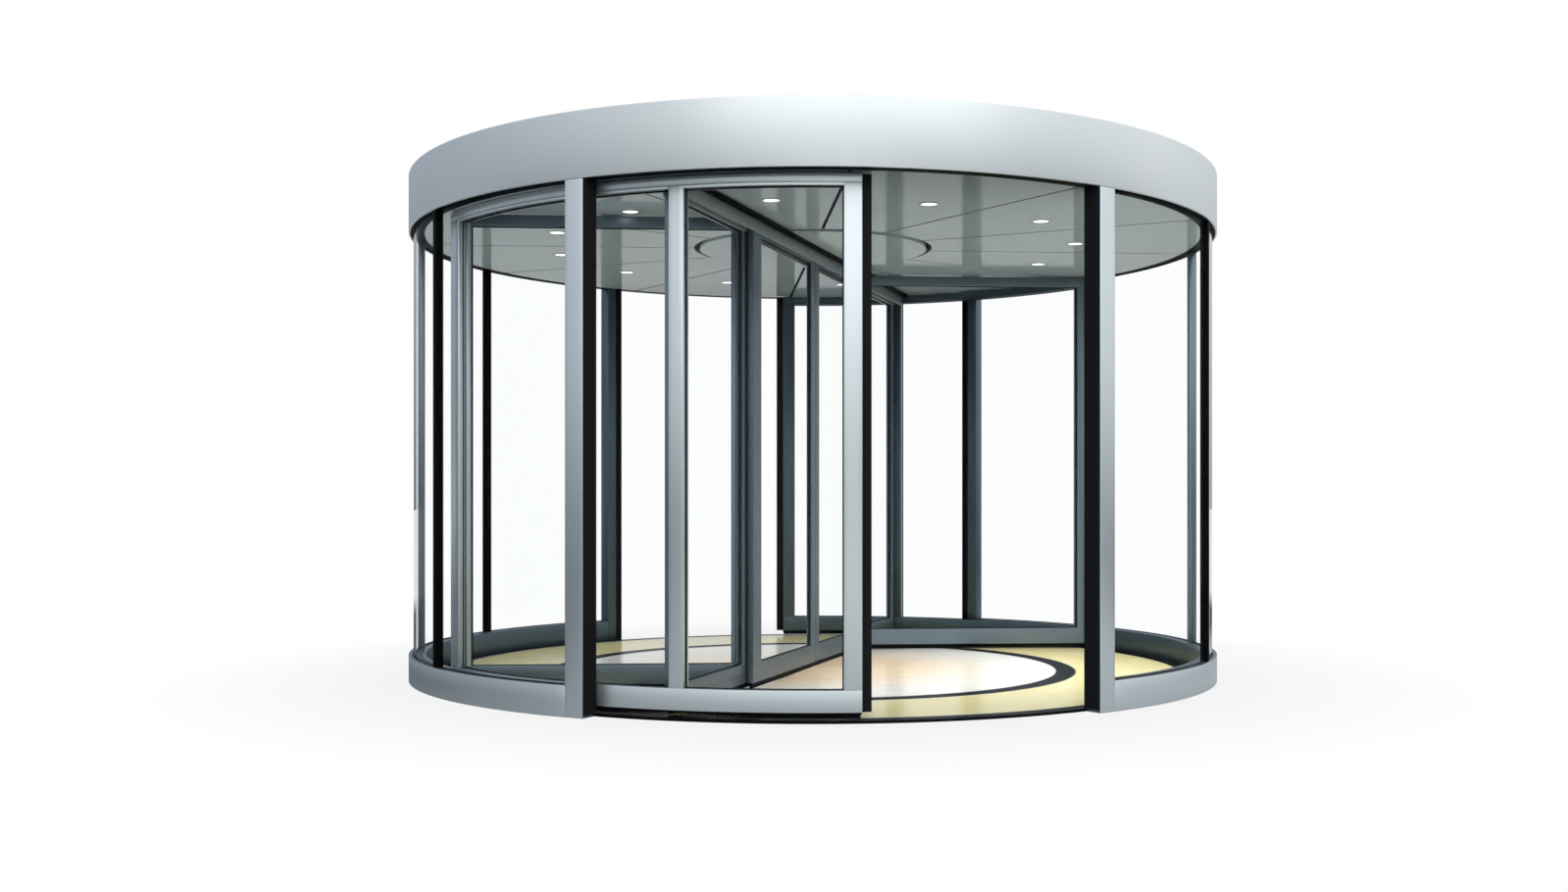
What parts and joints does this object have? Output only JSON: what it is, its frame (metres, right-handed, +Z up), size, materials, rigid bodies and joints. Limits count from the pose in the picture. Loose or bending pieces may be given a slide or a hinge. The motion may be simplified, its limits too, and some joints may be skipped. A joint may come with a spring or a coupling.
{
  "type": "two-wing revolving door",
  "caption": "Free-standing round revolving door: glazed drum with canopy, a turning wing with curved end screens in cases, and hung leaves that part at the centre.",
  "frame": {"origin": "floor level at the drum's centre, on the turning axis", "axes": "+Z up, front opening faces -Y, +X to the right seen from the front"},
  "size_m": [4.2, 4.1996, 2.54],
  "materials": {
    "satin_aluminium": "satin anodised",
    "black_metal": "matt black",
    "black_rubber": "matt",
    "clear_glass": "clear",
    "gloss_ceiling": "gloss",
    "roof_sheet": "satin",
    "bearing_steel": "machined",
    "lamp_trim": "satin",
    "lamp_lens": "frosted, lit",
    "floor_pale": "polished",
    "floor_dark": "polished"
  },
  "bodies": {
    "drum": {"floor_base": "floor_dark", "floor_field": "floor_pale", "floor_rings": "floor_dark", "front_right_post": "satin_aluminium", "front_left_post": "satin_aluminium", "back_left_post": "satin_aluminium", "back_right_post": "satin_aluminium", "safety_strips": "black_rubber", "right_plinth": "satin_aluminium", "left_plinth": "satin_aluminium", "right_glass_wall": "clear_glass", "left_glass_wall": "clear_glass", "slim_mullions": "black_metal", "middle_mullions": "satin_aluminium", "front_fascia": "satin_aluminium", "right_fascia": "satin_aluminium", "back_fascia": "satin_aluminium", "left_fascia": "satin_aluminium", "roof_cover": "roof_sheet", "ceiling_frame": "black_metal", "ceiling_panels": "gloss_ceiling", "bearing_housing": "bearing_steel", "downlight_trims": "lamp_trim", "downlight_lenses": "lamp_lens"},
    "rotor": {"rotor_disc": "gloss_ceiling", "rotor_spindle": "bearing_steel", "wing_header": "satin_aluminium", "header_plate": "black_metal", "front_screen_rails": "satin_aluminium", "front_screen_stiles": "satin_aluminium", "front_screen_glass": "clear_glass", "back_screen_rails": "satin_aluminium", "back_screen_stiles": "satin_aluminium", "back_screen_glass": "clear_glass", "front_sidelight_frame": "satin_aluminium", "back_sidelight_frame": "satin_aluminium", "sidelight_glass": "clear_glass", "case_wall_frames": "satin_aluminium", "case_wall_glass": "clear_glass", "rotor_brushes": "black_rubber"},
    "front_leaf": {"front_leaf_frame": "satin_aluminium", "front_leaf_glass": "clear_glass", "front_leaf_brush": "black_rubber"},
    "back_leaf": {"back_leaf_frame": "satin_aluminium", "back_leaf_glass": "clear_glass", "back_leaf_brush": "black_rubber"}
  },
  "joints": [
    {"name": "rotor_turn", "type": "hinge", "parent": "drum", "child": "rotor", "pos_m": [0, 0, 0], "axis": [0, 0, 1], "continuous": true},
    {"name": "front_leaf_slide", "type": "slide", "parent": "rotor", "child": "front_leaf", "axis": [-0.3584, -0.9336, 0], "range_m": [0, 0.88]},
    {"name": "back_leaf_slide", "type": "slide", "parent": "rotor", "child": "back_leaf", "axis": [0.3584, 0.9336, 0], "range_m": [0, 0.88]}
  ],
  "couplings": [
    {"joint": "back_leaf_slide", "follows": "front_leaf_slide", "ratio": 1}
  ]
}
